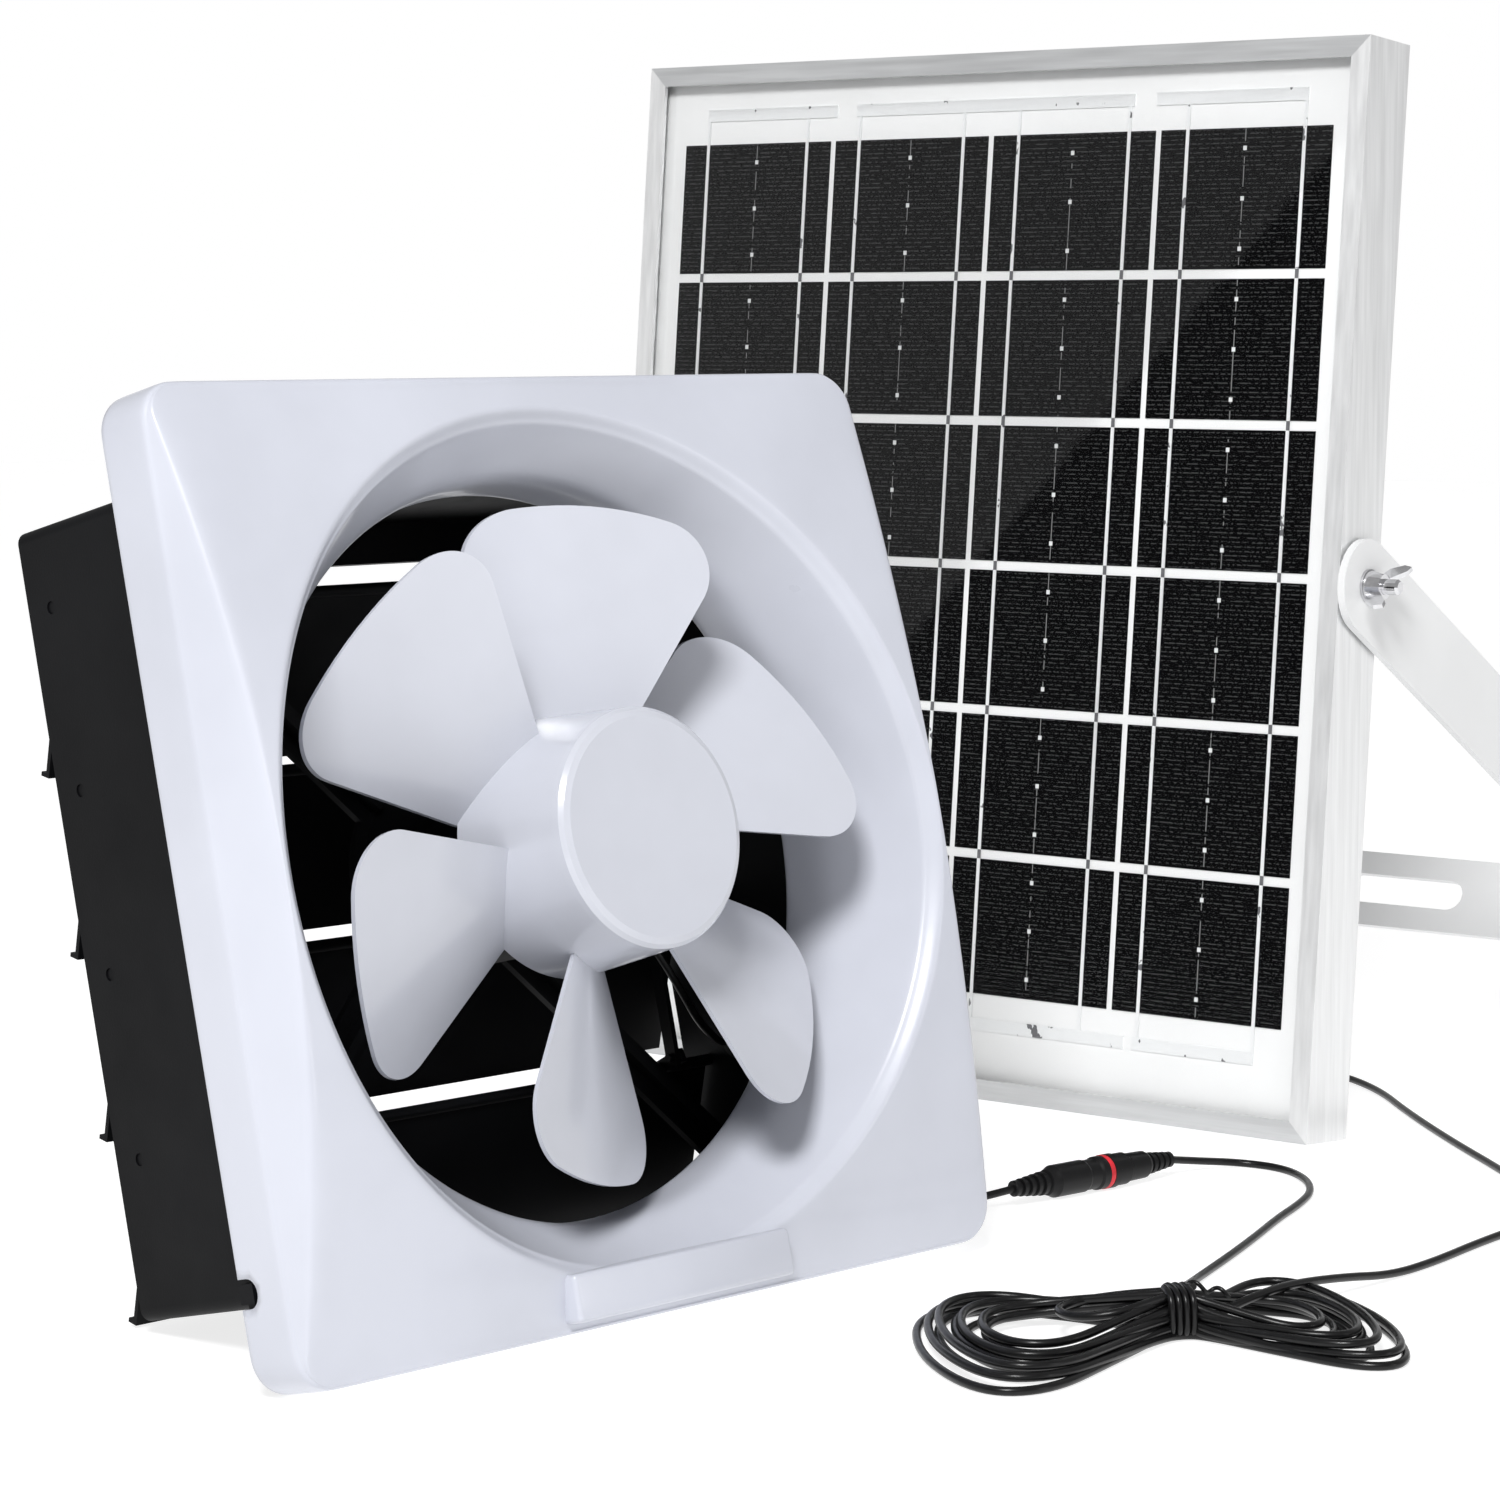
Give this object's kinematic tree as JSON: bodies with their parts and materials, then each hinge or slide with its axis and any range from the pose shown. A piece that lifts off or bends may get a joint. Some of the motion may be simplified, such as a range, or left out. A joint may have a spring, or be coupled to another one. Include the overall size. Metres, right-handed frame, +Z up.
{
  "type": "solar attic fan",
  "caption": "Louvred exhaust fan in a white cover with a solar panel on a U bracket, joined by a two-core cord with a round connector.",
  "frame": {"origin": "floor level, under the middle of the box round the standing fan and panel, cords left out", "axes": "+Z up; +X along the panel's width, to the right as its face is looked at; -Y out of the panel's face, towards the fan"},
  "size_m": [0.5675, 0.83, 0.421],
  "materials": {
    "cover_white": "glossy cool white",
    "frame_black": "matt black",
    "impeller_white": "glossy white",
    "motor_painted": "black paint",
    "zinc_steel": "zinc plated",
    "core_steel": "varnished laminations",
    "copper": "enamelled copper",
    "board_green": "solder resist",
    "rubber_black": "matt rubber",
    "rail_aluminium": "satin anodised",
    "panel_glass": "clear, low iron",
    "film_white": "white film",
    "cell_black": "dark silicon with fine fingers",
    "tinned_copper": "tinned, bright",
    "sealant": "pale silicone",
    "bracket_white": "white powder coat",
    "bolt_chrome": "bright plated",
    "cord_black": "semi-gloss black sheath",
    "plug_black": "satin black",
    "seal_red": "red silicone"
  },
  "bodies": {
    "kit": {"backsheet": "film_white", "bracket_screws": "zinc_steel", "bus_strips": "tinned_copper", "bypass_diode": "board_green", "cable_gland": "frame_black", "cell_ribbons": "tinned_copper", "connector_seal": "seal_red", "corner_keys": "zinc_steel", "edge_seal": "sealant", "encapsulant": "film_white", "fan_lead": "cord_black", "fan_lead_connector": "plug_black", "frame_bottom": "rail_aluminium", "frame_left": "rail_aluminium", "frame_right": "rail_aluminium", "frame_top": "rail_aluminium", "front_bearing": "zinc_steel", "front_cover": "cover_white", "hank_tie": "cord_black", "junction_box_base": "frame_black", "junction_box_lid": "frame_black", "junction_terminals": "zinc_steel", "lead_grommet": "rubber_black", "lid_screws": "zinc_steel", "motor_board": "board_green", "motor_bracket": "motor_painted", "motor_end_cap": "frame_black", "motor_housing": "motor_painted", "motor_lead": "cord_black", "motor_screws": "zinc_steel", "motor_stator": "core_steel", "motor_windings": "copper", "panel_cord_connector": "plug_black", "panel_cord_front": "cord_black", "panel_cord_hank": "cord_black", "panel_cord_rear": "cord_black", "panel_glass": "panel_glass", "pivot_bolts": "bolt_chrome", "pivot_washers": "zinc_steel", "rear_bearing": "zinc_steel", "rear_frame": "frame_black", "solar_cells": "cell_black"},
    "impeller": {"motor_rotor": "core_steel", "motor_shaft": "zinc_steel", "impeller": "impeller_white", "hub_cap": "impeller_white", "impeller_nut": "zinc_steel"},
    "louver_1": {"louver_1": "frame_black"},
    "louver_2": {"louver_2": "frame_black"},
    "louver_3": {"louver_3": "frame_black"},
    "louver_4": {"louver_4": "frame_black"},
    "louver_link": {"louver_link": "frame_black"},
    "bracket": {"tilt_bracket": "bracket_white"},
    "wing_nut_left": {"wing_nut_left": "bolt_chrome"},
    "wing_nut_right": {"wing_nut_right": "bolt_chrome"}
  },
  "joints": [
    {"name": "fan_spin", "type": "hinge", "parent": "kit", "child": "impeller", "pos_m": [0.10468, -0.25985, 0.14572], "axis": [0.9649, -0.1133, 0.2371], "continuous": true},
    {"name": "louver_1_swing", "type": "hinge", "parent": "kit", "child": "louver_1", "pos_m": [0.0119, -0.24895, 0.22483], "axis": [0.1167, 0.9932, 0], "range_deg": [-8, 56]},
    {"name": "louver_2_swing", "type": "hinge", "parent": "kit", "child": "louver_2", "pos_m": [0.02556, -0.25056, 0.16848], "axis": [0.1167, 0.9932, 0], "range_deg": [-8, 56]},
    {"name": "louver_3_swing", "type": "hinge", "parent": "kit", "child": "louver_3", "pos_m": [0.03921, -0.25216, 0.11214], "axis": [0.1167, 0.9932, 0], "range_deg": [-8, 56]},
    {"name": "louver_4_swing", "type": "hinge", "parent": "kit", "child": "louver_4", "pos_m": [0.05287, -0.25376, 0.05579], "axis": [0.1167, 0.9932, 0], "range_deg": [-8, 56]},
    {"name": "louver_link_pin", "type": "hinge", "parent": "louver_1", "child": "louver_link", "pos_m": [0.02052, -0.24996, 0.22979], "axis": [0.1167, 0.9932, 0], "range_deg": [-56, 8]},
    {"name": "bracket_tilt", "type": "hinge", "parent": "kit", "child": "bracket", "pos_m": [0, 0.12962, 0.2135], "axis": [1, 0, 0], "range_deg": [-8, 115]},
    {"name": "wing_nut_left_turn", "type": "hinge", "parent": "kit", "child": "wing_nut_left", "pos_m": [-0.183, 0.12962, 0.2135], "axis": [-1, 0, 0], "continuous": true},
    {"name": "wing_nut_right_turn", "type": "hinge", "parent": "kit", "child": "wing_nut_right", "pos_m": [0.183, 0.12962, 0.2135], "axis": [1, 0, 0], "continuous": true}
  ],
  "couplings": [
    {"joint": "louver_2_swing", "follows": "louver_1_swing", "ratio": 1},
    {"joint": "louver_3_swing", "follows": "louver_1_swing", "ratio": 1},
    {"joint": "louver_4_swing", "follows": "louver_1_swing", "ratio": 1},
    {"joint": "louver_link_pin", "follows": "louver_1_swing", "ratio": -1}
  ]
}
